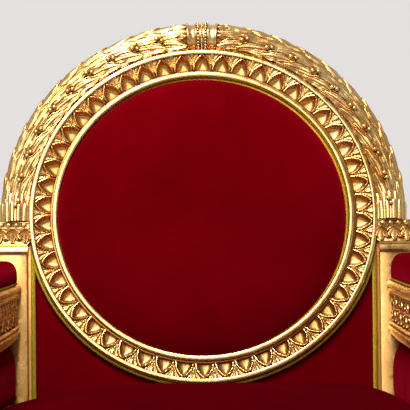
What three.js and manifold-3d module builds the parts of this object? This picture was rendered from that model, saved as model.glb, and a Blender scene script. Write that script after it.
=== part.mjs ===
// An armchair of state in the Empire taste: a round back under a laurel arch, closed arms,
// carved and gilded wood, velvet upholstery edged with woven gold gimp.
// Millimetres, +Z up, the sitter faces -Y, the feet stand on z = 0.
import * as THREE from 'three';
import { mergeVertices } from 'three/addons/utils/BufferGeometryUtils.js';
import Module from 'manifold-3d';

const wasm = await Module();
wasm.setup();

const { degToRad } = THREE.MathUtils;
const GAP = 0.3;                      // clearance between neighbouring pieces
const FINEST = 0.25;                  // detail below this is dropped from the carved pieces
const REACH = 2000;                   // size of the blocks that only cut

// The back is laid out in its own plane: n forwards from the posts' face, w upwards along it.
const RECLINE = degToRad(15);
const HINGE_Z = 485;                  // the plane's w = 0 line, at y = 0
const RING_CENTRE_W = 334;

const RING_UNITS = 50;
const RING_OUTER = 336;
const RING_REAR = -30;
const SCOOP_DEPTH = 7;
const RIM_HEIGHT = 3;
const RING_SECTION = [[281, RING_REAR], [281, 3], [291, 4], [296, 0], [309, 3], [325, 8],
  [RING_OUTER, 8.5], [RING_OUTER, RING_REAR]];

const PAD_RADIUS = 271.5;
const PAD_STEP = 280.6;               // the pad's rear flange, which carries the gimp
const PAD_CROWN = 24;
const GIMP_WIDTH = 9;
const GIMP_REAR = -13.7;
const GIMP_FRONT = -4;

const ROLL_CENTRE = 363;              // radius of the arch at the middle of its roll
const ROLL_RADIUS = 27;
const ROLL_N = -12;
const ROLL_REAR = -42;
const ROLL_STEPS = 44;
const ARCH_FOOT_DROP = 18;            // the arch ends this far below the ring's centre
const LEAF_GROUPS = 10;
const LEAF_PITCH = degToRad(8.2);
const LEAF_LENGTH = 66;
const LEAF_SECTIONS = [{ tilt: -40, width: 19, turn: -0.16 }, { tilt: 28, width: 21, turn: 0.03 },
  { tilt: 78, width: 20, turn: 0.12 }];
const BERRY_RADIUS = 6;
const CROWN_HALF = 30;

const STILE_INNER = 337;
const STILE_WIDTH = 60;
const STILE_DEPTH = 50;
const STILE_LEAN = Math.tan(degToRad(1.45));   // the posts draw together towards the seat
const CAPITAL_TOP_W = RING_CENTRE_W - ARCH_FOOT_DROP - GAP;
const CAPITAL_BOTTOM_W = CAPITAL_TOP_W - 67;

const RAIL_BOTTOM = 308;
const RAIL_TOP = 375;
const SEAT_WOOD_TOP = 395;            // where the posts start to lean back
const DECK_TOP = 388;
const REAR_FOOT_FRONT = 62;
const REAR_FOOT_REAR = 104;

const ARM_X = 388;
const ARM_SLOPE = degToRad(1.9);
const ARM_BASE_Z = 562;
const ARM_FRONT = -572;
const ARM_HEIGHT = 109;
const ARM_SECTION = [[20, 0], [23, 4], [30, 13], [34, 16], [34, 22], [31, 25], [31, 31], [26, 32],
  [26, 83], [31, 84], [31, 92], [30, 95], [34, 98], [34, 105], [30, ARM_HEIGHT]];
const FRIEZE_HALF = 26;
const FRIEZE_MIDDLE = 57.5;
const ARM_PAD_HALF = 31;
const ARM_PAD_HEIGHT = 46;

const LEG_Y = -532;
const SEAT_HALF = 366;
const SEAT_FRONT = -566;
const SEAT_CROWN_Z = 500;
const SEAT_EDGE_Z = 452;

const GILDING = { color: 0xc9923f, roughness: 0.32, metalness: 0.9 };
const VELVET = { color: 0x7d0010, roughness: 0.9, metalness: 0 };
const GIMP = { color: 0xa98a2c, roughness: 0.6, metalness: 0.4 };
const BOARD = { color: 0x8a6a45, roughness: 0.8, metalness: 0 };

const root = new THREE.Group();
const back = new THREE.Group();
back.position.z = HINGE_Z;
back.rotation.x = -RECLINE;
root.add(back);
back.updateMatrix();

const armFrame = new THREE.Matrix4().makeRotationX(ARM_SLOPE).setPosition(ARM_X, 0, ARM_BASE_Z);
const backCosine = Math.cos(RECLINE);
const backSine = Math.sin(RECLINE);

// ---- solids and meshes ----

function signedVolume(geometry) {
  const place = geometry.attributes.position;
  const corner = (k) => new THREE.Vector3().fromBufferAttribute(place, geometry.index.getX(k));
  let sum = 0;
  for (let k = 0; k < geometry.index.count; k += 3) {
    sum += corner(k).dot(corner(k + 1).cross(corner(k + 2)));
  }
  return sum / 6;
}

function solidOf(geometry) {
  const bare = geometry.clone();
  bare.deleteAttribute('normal');
  bare.deleteAttribute('uv');
  const merged = mergeVertices(bare, 1e-3);
  const corners = Uint32Array.from(merged.index.array);
  if (signedVolume(merged) < 0) corners.reverse();
  const mesh = new wasm.Mesh({
    numProp: 3,
    vertProperties: Float32Array.from(merged.attributes.position.array),
    triVerts: corners,
  });
  mesh.merge();
  return new wasm.Manifold(mesh);
}

function geometryOf(solid) {
  const mesh = solid.getMesh();
  const geometry = new THREE.BufferGeometry();
  geometry.setAttribute('position', new THREE.BufferAttribute(mesh.vertProperties, mesh.numProp));
  geometry.setIndex(new THREE.BufferAttribute(mesh.triVerts, 1));
  geometry.computeVertexNormals();
  return geometry;
}

function joined(solids) {
  return solids.reduce((whole, next) => whole.add(next));
}

function mirrored(solid) {
  return solidOf(geometryOf(solid).scale(-1, 1, 1));
}

function addPiece(name, solid, look, parent = root) {
  const mesh = new THREE.Mesh(geometryOf(solid), new THREE.MeshStandardMaterial(look));
  mesh.name = name;
  parent.add(mesh);
}

function addPair(name, solid, look, parent = root) {
  addPiece(`right_${name}`, solid, look, parent);
  addPiece(`left_${name}`, mirrored(solid), look, parent);
}

// ---- basic forms ----

function box(low, high) {
  const size = high.map((value, axis) => value - low[axis]);
  const middle = high.map((value, axis) => (value + low[axis]) / 2);
  return new THREE.BoxGeometry(...size).translate(...middle);
}

// A ring or disc about the back's own axis; section points are [radius, n].
function turnedOnBack(section, steps) {
  const points = section.map(([radius, n]) => new THREE.Vector2(radius, -n));
  const onAxis = section[0][0] === 0;
  if (!onAxis) points.push(points[0].clone());
  return new THREE.LatheGeometry(points, steps);
}

function raiseToRing(geometry) {
  return geometry.translate(0, 0, RING_CENTRE_W);
}

function moveVertices(geometry, change) {
  const place = geometry.attributes.position;
  const vertex = new THREE.Vector3();
  for (let i = 0; i < place.count; i++) {
    change(vertex.fromBufferAttribute(place, i));
    place.setXYZ(i, vertex.x, vertex.y, vertex.z);
  }
  return geometry;
}

// A rectangular block whose sides follow a moulding; each step is [height, projection].
function mouldedBlock(halfX, halfY, steps) {
  const count = steps.length - 1;
  return moveVertices(new THREE.BoxGeometry(1, 1, 1, 1, 1, count), (v) => {
    const [height, projection] = steps[Math.round((v.z + 0.5) * count)];
    v.set(Math.sign(v.x) * (halfX + projection), Math.sign(v.y) * (halfY + projection), height);
  });
}

// An outline in the y-z plane, drawn out along x.
function sideExtrusion(shape, fromX, toX, curveSegments = 6) {
  const settings = { depth: toX - fromX, bevelEnabled: false, curveSegments };
  const turned = new THREE.Matrix4().makeBasis(
    new THREE.Vector3(0, 1, 0), new THREE.Vector3(0, 0, 1), new THREE.Vector3(1, 0, 0));
  return new THREE.ExtrudeGeometry(shape, settings).applyMatrix4(turned).translate(fromX, 0, 0);
}

// A ridged leaf or petal lying on a surface: `along` is its tip's direction, `up` the surface's.
function leaf(length, width, height, place, along, up) {
  const form = moveVertices(new THREE.OctahedronGeometry(1), (v) => {
    if (Math.abs(v.x) < 0.5) v.x = -0.25;
  });
  const side = new THREE.Vector3().crossVectors(up, along).normalize();
  const normal = new THREE.Vector3().crossVectors(along, side).normalize();
  form.scale(length / 2, width / 2, height);
  form.applyMatrix4(new THREE.Matrix4().makeBasis(along, side, normal).setPosition(place));
  return solidOf(form);
}

function bead(radius, place) {
  return solidOf(new THREE.OctahedronGeometry(radius).translate(place.x, place.y, place.z));
}

// ---- the back ----

function leanWithPost(geometry, heightOf) {
  return moveVertices(geometry, (v) => {
    v.x -= Math.sign(v.x) * STILE_LEAN * (CAPITAL_BOTTOM_W - heightOf(v));
  });
}

function heightInBack(v) {
  return v.z;
}

function heightInRoom(v) {
  return v.y * backSine + (v.z - HINGE_Z) * backCosine;
}

function ringBore(radius) {
  const bore = new THREE.CylinderGeometry(radius, radius, REACH, RING_UNITS * 2);
  return solidOf(raiseToRing(bore));
}

function backRing() {
  const form = turnedOnBack(RING_SECTION, RING_UNITS * 2);
  moveVertices(form, (v) => {
    const radius = Math.hypot(v.x, v.z);
    const turn = Math.atan2(v.x, v.z) / (2 * Math.PI) * RING_UNITS;
    const hollow = 0.5 - 0.5 * Math.cos(2 * Math.PI * turn);
    const inBand = radius > 300 && radius < 315 && v.y < 0;
    if (inBand) v.y += SCOOP_DEPTH * hollow - RIM_HEIGHT * (1 - hollow);
  });
  return solidOf(raiseToRing(form));
}

function backPad() {
  const section = [[0, PAD_CROWN]];
  for (const share of [0.45, 0.8]) {
    const fall = (PAD_CROWN - GIMP_FRONT) * share ** 2.6;
    section.push([PAD_RADIUS * share, PAD_CROWN - fall]);
  }
  section.push([PAD_RADIUS, GIMP_FRONT - 5], [PAD_RADIUS, GIMP_REAR - GAP]);
  section.push([PAD_STEP, GIMP_REAR - GAP], [PAD_STEP, RING_REAR], [0, RING_REAR]);
  return solidOf(raiseToRing(turnedOnBack(section, RING_UNITS)));
}

function gimpRing(inner, outer) {
  const section = [[inner, GIMP_REAR], [inner, GIMP_FRONT], [outer, GIMP_FRONT], [outer, GIMP_REAR]];
  return solidOf(raiseToRing(turnedOnBack(section, RING_UNITS)));
}

function rollSection(radius) {
  const section = [[ROLL_CENTRE - ROLL_RADIUS + GAP, ROLL_REAR]];
  const steps = 5;
  for (let k = 0; k <= steps; k++) {
    const angle = Math.PI * (k / steps - 0.5);
    section.push([ROLL_CENTRE + radius * Math.sin(angle), ROLL_N + radius * Math.cos(angle)]);
  }
  section.push([ROLL_CENTRE + ROLL_RADIUS - 6, ROLL_REAR]);
  return section;
}

function rollPoint(angle, tilt, lift) {
  const distance = ROLL_RADIUS + lift;
  const radius = ROLL_CENTRE + distance * Math.sin(tilt);
  const forward = ROLL_N + distance * Math.cos(tilt);
  return new THREE.Vector3(radius * Math.sin(angle), -forward, RING_CENTRE_W + radius * Math.cos(angle));
}

function rollNormal(angle, tilt) {
  const outward = Math.sin(tilt);
  return new THREE.Vector3(outward * Math.sin(angle), -Math.cos(tilt), outward * Math.cos(angle));
}

function laurelLeaf(angle, section) {
  const tilt = degToRad(section.tilt);
  const up = rollNormal(angle, tilt);
  const towardsCrown = new THREE.Vector3(-Math.cos(angle), 0, Math.sin(angle));
  const along = towardsCrown.applyAxisAngle(up, section.turn);
  return leaf(LEAF_LENGTH, section.width, 5.5, rollPoint(angle, tilt, -0.5), along, up);
}

function laurelSide() {
  const parts = [];
  for (let group = 0; group < LEAF_GROUPS; group++) {
    const angle = degToRad(87) - (group + 0.5) * LEAF_PITCH;
    LEAF_SECTIONS.forEach((section) => parts.push(laurelLeaf(angle, section)));
    parts.push(bead(BERRY_RADIUS, rollPoint(angle - 0.35 * LEAF_PITCH, degToRad(-6), 0)));
  }
  return joined(parts);
}

function crownBand() {
  const cutAt = (half) => solidOf(box([-half, -REACH, RING_CENTRE_W], [half, REACH, REACH]));
  const hoop = (radius) => solidOf(raiseToRing(turnedOnBack(rollSection(radius), ROLL_STEPS)));
  const ends = hoop(ROLL_RADIUS + 5).intersect(cutAt(CROWN_HALF)).subtract(cutAt(CROWN_HALF - 6));
  const middle = hoop(ROLL_RADIUS + 4).intersect(cutAt(11));
  const beads = [];
  for (const side of [-1, 1]) {
    for (let k = 0; k < 7; k++) {
      const tilt = degToRad(-66 + k * 22);
      beads.push(bead(5, rollPoint(side * 0.0207, tilt, 4)));
    }
  }
  return joined([ends, middle, ...beads]);
}

function laurelArch() {
  const roll = solidOf(raiseToRing(turnedOnBack(rollSection(ROLL_RADIUS), ROLL_STEPS)));
  const side = laurelSide();
  const foot = RING_CENTRE_W - ARCH_FOOT_DROP;
  const below = solidOf(box([-REACH, -REACH, -REACH], [REACH, REACH, foot]));
  return joined([roll, side, mirrored(side), crownBand()])
    .subtract(below)
    .subtract(ringBore(RING_OUTER + GAP))
    .simplify(FINEST);
}

function capital() {
  const halfX = 30;
  const halfY = 15;
  const middleY = 9;
  const steps = [[0, 0], [0, 3], [6, 5], [12, 2], [16, 0], [20, -1], [51, 3], [54, 4], [58, 1], [67, 0]];
  const block = mouldedBlock(halfX, halfY, steps).translate(0, middleY, CAPITAL_BOTTOM_W);
  const parts = [solidOf(block)];
  const down = new THREE.Vector3(0, 0, -1);
  const front = new THREE.Vector3(0, -1, 0);
  const outer = new THREE.Vector3(1, 0, 0);
  const beadW = CAPITAL_BOTTOM_W + 61;
  const leafW = CAPITAL_BOTTOM_W + 35;
  for (const across of [-22.5, -7.5, 7.5, 22.5]) {
    parts.push(bead(5, new THREE.Vector3(across, middleY - halfY, beadW)));
    parts.push(leaf(36, 15, 4, new THREE.Vector3(across, middleY - halfY - 1, leafW), down, front));
  }
  for (const along of [-7.5, 7.5]) {
    parts.push(bead(5, new THREE.Vector3(halfX, middleY + along, beadW)));
    parts.push(leaf(36, 15, 4, new THREE.Vector3(halfX + 1, middleY + along, leafW), down, outer));
  }
  return geometryOf(joined(parts)).translate(STILE_INNER + STILE_WIDTH / 2, 0, 0);
}

// The post's outline from the side, in room coordinates: reclined above the seat, raked below it.
function postOutline() {
  const plane = (n, w) => [w * backSine - n * backCosine, HINGE_Z + w * backCosine + n * backSine];
  const seatFace = (SEAT_WOOD_TOP - HINGE_Z) * Math.tan(RECLINE);
  const seatRear = seatFace + STILE_DEPTH / backCosine;
  const shape = new THREE.Shape();
  shape.moveTo(...plane(0, CAPITAL_TOP_W - 2));
  shape.lineTo(...plane(0, CAPITAL_BOTTOM_W));
  shape.lineTo(seatFace, SEAT_WOOD_TOP);
  shape.lineTo(seatFace, RAIL_BOTTOM - 12);
  shape.quadraticCurveTo(seatFace + 6, 120, REAR_FOOT_FRONT, 0);
  shape.lineTo(REAR_FOOT_REAR, 0);
  shape.quadraticCurveTo(seatRear + 16, 120, seatRear, RAIL_BOTTOM - 12);
  shape.lineTo(seatRear, SEAT_WOOD_TOP);
  shape.lineTo(...plane(-STILE_DEPTH, CAPITAL_BOTTOM_W));
  shape.lineTo(...plane(-STILE_DEPTH, CAPITAL_TOP_W - 2));
  return shape;
}

function stile() {
  const post = sideExtrusion(postOutline(), STILE_INNER, STILE_INNER + STILE_WIDTH);
  leanWithPost(post, heightInRoom);
  const head = solidOf(capital().applyMatrix4(back.matrix));
  const ringSpace = solidOf(geometryOf(ringBore(RING_OUTER + GAP)).applyMatrix4(back.matrix));
  return solidOf(post).add(head).subtract(ringSpace);
}

function panelBetweenPosts(front, rear, edge, low, high) {
  const form = box([-edge, -front, low], [edge, -rear, high]);
  return solidOf(leanWithPost(form, heightInBack));
}

const PANEL_FOOT_W = (DECK_TOP + 2 - HINGE_Z) / backCosine;
const PANEL_EDGE = STILE_INNER - 3 * GAP;
const WEDGE_TOP_W = CAPITAL_BOTTOM_W - 2 * GAP;

function lowerBackPanel() {
  const cloth = panelBetweenPosts(-6, RING_REAR, PANEL_EDGE, PANEL_FOOT_W, WEDGE_TOP_W);
  const bed = panelBetweenPosts(0, GIMP_REAR - GAP, PANEL_EDGE + 1, PANEL_FOOT_W - 1, WEDGE_TOP_W + 1);
  const inside = panelBetweenPosts(1, RING_REAR, PANEL_EDGE - GIMP_WIDTH - 2 * GAP,
    PANEL_FOOT_W - 2, WEDGE_TOP_W + 2);
  return cloth.subtract(bed.subtract(inside).add(ringGimpBed())).subtract(ringBore(RING_OUTER + GAP));
}

function ringGimpBed() {
  const rear = GIMP_REAR - GAP;
  const outer = RING_OUTER + GIMP_WIDTH + 2 * GAP;
  const section = [[RING_OUTER - 5, rear], [RING_OUTER - 5, 5], [outer, 5], [outer, rear]];
  return solidOf(raiseToRing(turnedOnBack(section, RING_UNITS * 2)));
}

function ringOuterGimp() {
  const edge = PANEL_EDGE - GIMP_WIDTH - GAP;
  const lowHalf = panelBetweenPosts(20, RING_REAR, edge, PANEL_FOOT_W, WEDGE_TOP_W);
  const form = gimpRing(RING_OUTER - 3, RING_OUTER + GIMP_WIDTH - GAP);
  return form.intersect(lowHalf).subtract(ringBore(RING_OUTER + GAP));
}

function stileGimp() {
  const strip = (edge) => panelBetweenPosts(GIMP_FRONT, GIMP_REAR, edge, PANEL_FOOT_W, WEDGE_TOP_W);
  const rightHalf = solidOf(box([0, -REACH, -REACH], [REACH, REACH, REACH]));
  return strip(PANEL_EDGE).subtract(strip(PANEL_EDGE - GIMP_WIDTH))
    .intersect(rightHalf)
    .subtract(ringBore(RING_OUTER + GAP));
}

function outerBackPanel() {
  const radius = RING_OUTER - 1;
  const front = RING_REAR - GAP;
  const disc = turnedOnBack([[0, front], [radius, front], [radius, -40], [0, -46]], ROLL_STEPS);
  const lower = panelBetweenPosts(front, -44, PANEL_EDGE, PANEL_FOOT_W, RING_CENTRE_W - ARCH_FOOT_DROP);
  return solidOf(raiseToRing(disc)).add(lower);
}

// ---- arms, legs and seat ----

function inArmFrame(geometry) {
  return solidOf(geometry.applyMatrix4(armFrame));
}

function spaceBehindBackFace() {
  return solidOf(box([-REACH, -GAP, -REACH], [REACH, REACH, REACH]).applyMatrix4(back.matrix));
}

function spaceAboveArmFoot() {
  return inArmFrame(box([-REACH, -REACH, -GAP], [REACH, REACH, REACH]));
}

function armBar() {
  const shape = new THREE.Shape();
  ARM_SECTION.forEach(([half, height], k) => (k ? shape.lineTo(half, height) : shape.moveTo(half, height)));
  [...ARM_SECTION].reverse().forEach(([half, height]) => shape.lineTo(-half, height));
  const bar = new THREE.ExtrudeGeometry(shape, { depth: -ARM_FRONT + 200, bevelEnabled: false });
  return bar.rotateX(Math.PI / 2).translate(0, 200, 0);
}

function friezeLeaves() {
  const pitch = 52;
  const parts = [];
  for (let y = ARM_FRONT + 108; y < 0; y += pitch) {
    for (const side of [-1, 1]) {
      const up = new THREE.Vector3(side, 0, 0);
      for (const slant of side > 0 ? [1] : [-1, 1]) {
        const along = new THREE.Vector3(0, 0.8, 0.6 * slant).normalize();
        const place = new THREE.Vector3(side * FRIEZE_HALF, y, FRIEZE_MIDDLE + slant * 10);
        parts.push(leaf(46, 17, 4.5, place, along, up));
      }
    }
  }
  return joined(parts.map((part) => inArmFrame(geometryOf(part))));
}

function rosette(radius) {
  const petals = 6;
  const points = [[0, 6], [7, 3], [radius * 0.7, 6], [radius, 1], [radius, -4], [0, -4]];
  const form = new THREE.LatheGeometry(points.map(([r, y]) => new THREE.Vector2(r, y)), petals * 2);
  return moveVertices(form, (v) => {
    const angle = Math.atan2(v.x, v.z) * petals;
    const betweenPetals = Math.hypot(v.x, v.z) > radius * 0.9 && Math.cos(angle) < 0;
    if (betweenPetals) v.multiply(new THREE.Vector3(0.86, 1, 0.86));
  });
}

function arm() {
  const steps = [[0, 0], [10, 0], [14, 3], [24, 3], [28, 0], [84, 0], [88, 3], [100, 5], [ARM_HEIGHT + 6, 5],
    [ARM_HEIGHT + 10, 0]];
  const blockY = ARM_FRONT + 38;
  const block = mouldedBlock(33, 36, steps).translate(0, blockY, 0);
  const front = rosette(24).rotateX(Math.PI).translate(0, blockY - 36, FRIEZE_MIDDLE - 1);
  return joined([inArmFrame(armBar()), friezeLeaves(), inArmFrame(block), inArmFrame(front)])
    .subtract(spaceBehindBackFace());
}

// A stuffed form, flat below: full in the middle of its top, swelling a little at its sides.
// The fullness says how far along y the top keeps its height before it falls to its ends.
function stuffed(half, front, rear, base, edge, crown, stepsX, stepsY, fullness = 3.2) {
  const form = new THREE.BoxGeometry(2, 2, 2, stepsX, stepsY, 3);
  return moveVertices(form, (v) => {
    const level = Math.round((v.z + 1) * 1.5);
    v.y = Math.sign(v.y) * Math.abs(v.y) ** (3 / fullness);
    const rise = (crown - edge) * (1 - Math.abs(v.x) ** 3.2) * (1 - Math.abs(v.y) ** fullness);
    const draw = [0.985, 1, 0.985, 0.955][level];
    const height = [base, base + (edge - base) * 0.35, base + (edge - base) * 0.75, edge + rise][level];
    v.set(v.x * half * draw, (front + rear) / 2 + v.y * (rear - front) / 2 * draw, height);
  });
}

function armPad() {
  const top = ARM_HEIGHT + GAP;
  const form = stuffed(ARM_PAD_HALF, ARM_FRONT + 84, 20, top, top + 20, top + ARM_PAD_HEIGHT, 4, 4, 12);
  return inArmFrame(form).subtract(spaceBehindBackFace());
}

function sidePanel() {
  const shape = new THREE.Shape();
  shape.moveTo(LEG_Y + 30 + GAP, RAIL_TOP + GAP);
  shape.lineTo(60, RAIL_TOP + GAP);
  shape.lineTo(60, ARM_BASE_Z + 60);
  shape.lineTo(LEG_Y + 30 + GAP, ARM_BASE_Z + 60);
  const panel = solidOf(sideExtrusion(shape, 368, 398));
  const cornerBlock = solidOf(box([0, -REACH, 0], [REACH, LEG_Y + 37 + GAP, SEAT_WOOD_TOP + GAP]));
  return panel.subtract(spaceAboveArmFoot()).subtract(spaceBehindBackFace()).subtract(cornerBlock);
}

function turnedLeg() {
  const flutes = 10;
  const section = [[0, 0], [21, 0], [27, 8], [27, 20], [17, 34], [22, 44], [18, 52], [28, 250],
    [24, 258], [33, 268], [33, 282], [27, RAIL_BOTTOM], [0, RAIL_BOTTOM]];
  const form = new THREE.LatheGeometry(section.map(([r, z]) => new THREE.Vector2(r, z)), flutes * 2);
  form.rotateX(Math.PI / 2);
  return moveVertices(form, (v) => {
    const radius = Math.hypot(v.x, v.y);
    const groove = Math.cos(Math.atan2(v.y, v.x) * flutes) < 0;
    const onShaft = v.z > 51 && v.z < 251;
    if (onShaft && groove && radius > 1) v.multiply(new THREE.Vector3(0.84, 0.84, 1));
  });
}

function frontLeg() {
  const blockSteps = [[RAIL_BOTTOM - 4, -6], [RAIL_BOTTOM, 0], [RAIL_BOTTOM + 8, 2], [RAIL_BOTTOM + 12, 0],
    [SEAT_WOOD_TOP - 12, 0], [SEAT_WOOD_TOP - 8, 3], [SEAT_WOOD_TOP, 3]];
  const postSteps = [[SEAT_WOOD_TOP - 2, 0], [SEAT_WOOD_TOP + 10, 0], [SEAT_WOOD_TOP + 14, -5],
    [ARM_BASE_Z - 50, -5], [ARM_BASE_Z - 44, 0], [ARM_BASE_Z + 40, 0]];
  const front = rosette(22).rotateX(Math.PI).translate(0, -34, 350);
  const forms = [turnedLeg(), mouldedBlock(34, 34, blockSteps), mouldedBlock(30, 30, postSteps), front];
  return joined(forms.map((form) => solidOf(form.translate(ARM_X, LEG_Y, 0)))).subtract(spaceAboveArmFoot());
}

const RAIL_SECTION = [[-20, 0], [-24, 3], [-24, 10], [-20, 14], [-20, 52], [-23, 56], [-26, 60], [-26, 67],
  [18, 67], [18, 0]];

// A seat rail's section, drawn out along y with its moulded face towards -x.
function railBar(length) {
  const shape = new THREE.Shape();
  RAIL_SECTION.forEach(([across, up], k) => (k ? shape.lineTo(across, up) : shape.moveTo(across, up)));
  const bar = new THREE.ExtrudeGeometry(shape, { depth: length, bevelEnabled: false });
  return bar.rotateX(Math.PI / 2).translate(0, length / 2, RAIL_BOTTOM);
}

function frontRail() {
  const half = ARM_X - 36 - 3 * GAP;
  return solidOf(railBar(2 * half).rotateZ(Math.PI / 2).translate(0, LEG_Y - 6, 0));
}

function sideRail() {
  const front = LEG_Y + 37 + GAP;
  const rear = (SEAT_WOOD_TOP - HINGE_Z) * Math.tan(RECLINE) - GAP;
  const bar = railBar(rear - front).rotateZ(Math.PI).translate(ARM_X - 4, (front + rear) / 2, 0);
  return solidOf(bar);
}

function backRail() {
  const form = box([-PANEL_EDGE, -22, RAIL_BOTTOM], [PANEL_EDGE, 20, RAIL_TOP]);
  return solidOf(leanWithPost(form, heightInRoom));
}

function seatDeck() {
  const half = ARM_X - 34 - 4;
  return solidOf(box([-half, LEG_Y - 24, RAIL_TOP + GAP], [half, -26, DECK_TOP]));
}

function seatCushion() {
  const form = stuffed(SEAT_HALF, SEAT_FRONT, -12, DECK_TOP + GAP, SEAT_EDGE_Z, SEAT_CROWN_Z, 8, 6);
  const corner = solidOf(box([ARM_X - 34 - 6, -REACH, 0], [REACH, LEG_Y + 40, REACH]));
  return solidOf(form)
    .subtract(spaceBehindBackFace())
    .subtract(corner)
    .subtract(mirrored(corner));
}

function build() {
  addPiece('laurel_arch', laurelArch(), GILDING, back);
  addPiece('back_ring', backRing(), GILDING, back);
  addPiece('back_pad', backPad(), VELVET, back);
  addPiece('ring_inner_gimp', gimpRing(PAD_RADIUS + GAP, PAD_STEP), GIMP, back);
  addPiece('lower_back_panel', lowerBackPanel(), VELVET, back);
  addPiece('ring_outer_gimp', ringOuterGimp(), GIMP, back);
  addPair('stile_gimp', stileGimp(), GIMP, back);
  addPiece('outer_back_panel', outerBackPanel(), VELVET, back);
  addPair('stile', stile(), GILDING);
  addPair('arm', arm(), GILDING);
  addPair('arm_pad', armPad(), VELVET);
  addPair('side_panel', sidePanel(), VELVET);
  addPair('front_leg', frontLeg(), GILDING);
  addPiece('seat_front_rail', frontRail(), GILDING);
  addPair('seat_rail', sideRail(), GILDING);
  addPiece('seat_back_rail', backRail(), GILDING);
  addPiece('seat_deck', seatDeck(), BOARD);
  addPiece('seat_cushion', seatCushion(), VELVET);
}

build();
const bounds = new THREE.Box3().setFromObject(root, true);
root.position.y = -(bounds.min.y + bounds.max.y) / 2;

export default root;
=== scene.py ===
"""Looks of the round-backed throne: carved gilding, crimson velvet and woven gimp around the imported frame."""

import math

import bmesh
import bpy
import numpy as np
from mathutils import Matrix, Vector, noise


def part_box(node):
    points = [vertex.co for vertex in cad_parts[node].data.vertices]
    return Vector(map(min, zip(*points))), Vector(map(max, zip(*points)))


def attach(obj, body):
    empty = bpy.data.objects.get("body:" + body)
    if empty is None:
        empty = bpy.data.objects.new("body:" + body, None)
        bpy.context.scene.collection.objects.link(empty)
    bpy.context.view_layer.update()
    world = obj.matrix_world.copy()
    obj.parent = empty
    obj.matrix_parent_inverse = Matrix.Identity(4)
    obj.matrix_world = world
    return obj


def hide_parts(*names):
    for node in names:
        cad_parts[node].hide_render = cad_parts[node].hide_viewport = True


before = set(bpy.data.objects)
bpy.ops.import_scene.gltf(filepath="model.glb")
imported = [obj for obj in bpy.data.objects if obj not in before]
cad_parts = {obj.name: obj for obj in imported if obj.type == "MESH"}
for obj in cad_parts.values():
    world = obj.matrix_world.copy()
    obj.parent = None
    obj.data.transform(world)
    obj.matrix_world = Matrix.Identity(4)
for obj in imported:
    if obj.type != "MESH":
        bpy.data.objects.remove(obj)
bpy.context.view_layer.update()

MM = 0.001
SCENE = bpy.context.scene
X, Y, Z = np.eye(3)

# ---- sizes in millimetres, as in the construction ----
# The back leans by RECLINE about a line at HINGE_Z. In its plane w runs up from the ring's centre, n forwards.

GAP = 0.3
RECLINE = math.radians(15)
BACK_COS = math.cos(RECLINE)
BACK_SIN = math.sin(RECLINE)
HINGE_Z = 485.0
RING_CENTRE_W = 334.0
RING_INNER = 281.0
RING_OUTER = 336.0
RING_REAR = -30.0
RING_FRONT = 8.5
RING_UNITS = 50
BAND_INNER = 296.0
BAND_OUTER = 326.0
BAND_WIDTH = BAND_OUTER - BAND_INNER
ARCH_HALF = 17.0
ARCH_TIP = 0.95
RIM_HALF = 1.2
SCOOP_REACH = 12.5

ROLL_CENTRE = 363.0
ROLL_RADIUS = 27.0
ROLL_N = -12.0
ROLL_REAR = -42.0
ARCH_FOOT = -18.0
ROLL_CORE = 24.5
ROLL_SEAT = 336.4
CROWN_RISE = 4.0
LEAF_STOP = 30.0
INNER_FLANK = math.radians(-27)

STILE_INNER = 337.0
STILE_WIDTH = 60.0
STILE_DEPTH = 50.0
STILE_LEAN = math.tan(math.radians(1.45))
CAPITAL_HEIGHT = 67.0
CAPITAL_BOTTOM = ARCH_FOOT - 0.3 - CAPITAL_HEIGHT

SEAT_WOOD_TOP = 395.0
RAIL_BOTTOM = 308.0
RAIL_TOP = 375.0
DECK_TOP = 388.0

ARM_X = 388.0
ARM_SLOPE = math.radians(1.9)
ARM_BASE_Z = 562.0
ARM_FRONT = -572.0
ARM_HEIGHT = 109.0
ARM_PAD_FOOT = ARM_HEIGHT + GAP
ARM_PAD_FRONT = ARM_FRONT + 86
ARM_PAD_REAR = 4.0
ARM_PAD_HALF = 31.5
ARM_PAD_HEIGHT = 50.0
FRIEZE_DEPTH = 25.4
FRIEZE_MIDDLE = 57.8
ARM_SPREAD = 6.5
ARM_LIFT = {1: 3.0, -1: -1.0}
LEG_Y = -532.0
SEAT_EDGE_Z = 450
SEAT_CROWN = 49.0
BEND_Z = RAIL_BOTTOM - 12
KNEE_Z = 120
FLUTES = 10

SIDES = ((1, "right"), (-1, "left"))

PANEL_FOOT = (DECK_TOP + 2 - HINGE_Z) / BACK_COS - RING_CENTRE_W
PANEL_TOP = CAPITAL_BOTTOM - 0.6
PANEL_EDGE = STILE_INNER - 0.9
BRAID_TOP = CAPITAL_BOTTOM + 36
BRAID_INSET = 4.5
BRAID_WIDTH = 8.6
BRAID_FOOT = -7.0
REBATE = 6.5

# ---- the frame's own places ----

ring_low, ring_high = (np.array(corner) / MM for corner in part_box("back_ring"))
ring_middle = (ring_low + ring_high) / 2
CENTRE_Y = ring_middle[1] + BACK_COS * (RING_FRONT + RING_REAR) / 2
CENTRE_Z = ring_middle[2] - BACK_SIN * (RING_FRONT + RING_REAR) / 2
ORIGIN_Y = CENTRE_Y - RING_CENTRE_W * BACK_SIN


def points(x, y, z):
    return np.stack(np.broadcast_arrays(x, y, z), axis=-1) * MM


def room(x, y, z):
    """A point of the construction's own axes, in metres of the frame."""
    return points(x, y + ORIGIN_Y, z)


def on_back(x, n, w):
    """A point laid out in the back's plane: n forwards of it, w above the ring's centre."""
    return points(x, CENTRE_Y + w * BACK_SIN - n * BACK_COS, CENTRE_Z + w * BACK_COS + n * BACK_SIN)


def on_ring(angle, radius, n):
    return on_back(radius * np.sin(angle), n, radius * np.cos(angle))


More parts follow.
